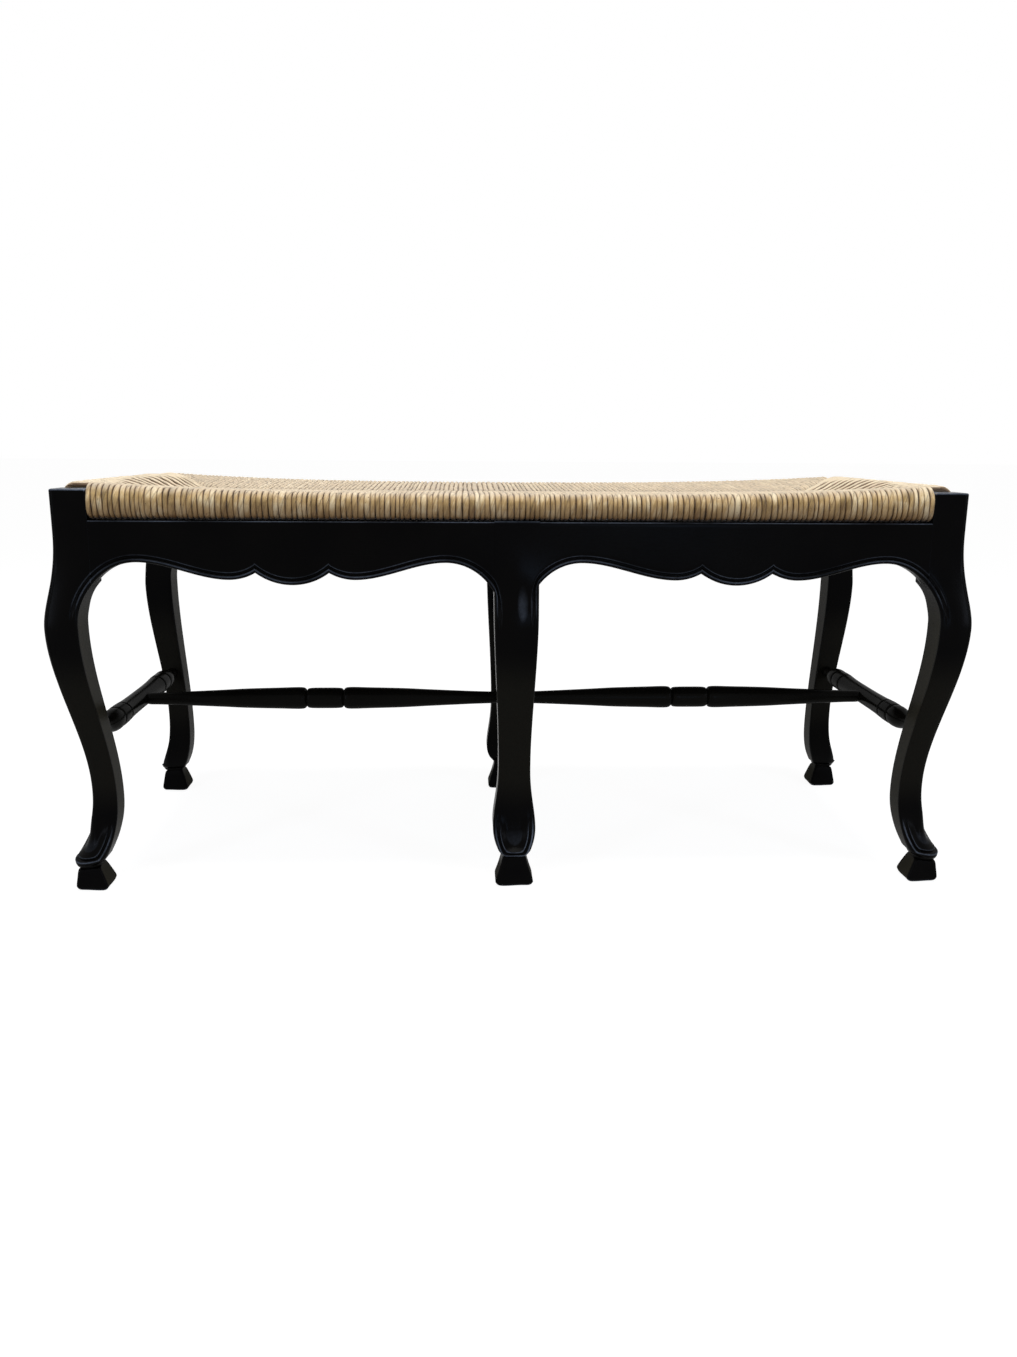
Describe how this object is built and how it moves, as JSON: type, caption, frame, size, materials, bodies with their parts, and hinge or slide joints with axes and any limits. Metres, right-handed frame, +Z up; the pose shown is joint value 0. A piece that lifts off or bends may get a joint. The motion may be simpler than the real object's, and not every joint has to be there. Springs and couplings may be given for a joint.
{
  "type": "rush seat bench",
  "caption": "Long bench with ebonised cabriole legs, scalloped moulded aprons, turned stretchers and a woven rush seat.",
  "frame": {"origin": "on the floor, under the middle of the bench", "axes": "+X along the bench, to the right as seen from the front, +Y from the front to the rear, +Z up"},
  "size_m": [1.0758, 0.4258, 0.4909],
  "materials": {
    "ebonised_wood": "satin",
    "pale_wood": "matte",
    "rush": "matte"
  },
  "bodies": {
    "root": {"leg_front_left": "ebonised_wood", "leg_front_middle": "ebonised_wood", "leg_front_right": "ebonised_wood", "leg_rear_left": "ebonised_wood", "leg_rear_middle": "ebonised_wood", "leg_rear_right": "ebonised_wood", "apron_front_left": "ebonised_wood", "apron_front_right": "ebonised_wood", "apron_rear_left": "ebonised_wood", "apron_rear_right": "ebonised_wood", "apron_end_left": "ebonised_wood", "apron_end_right": "ebonised_wood", "seat_rail_front": "pale_wood", "seat_rail_rear": "pale_wood", "seat_rail_left": "pale_wood", "seat_rail_right": "pale_wood", "seat_brace_middle": "pale_wood", "cross_stretcher_left": "ebonised_wood", "cross_stretcher_middle": "ebonised_wood", "cross_stretcher_right": "ebonised_wood", "long_stretcher_left": "ebonised_wood", "long_stretcher_right": "ebonised_wood", "rush_seat": "rush", "rush_padding": "rush"}
  },
  "joints": []
}
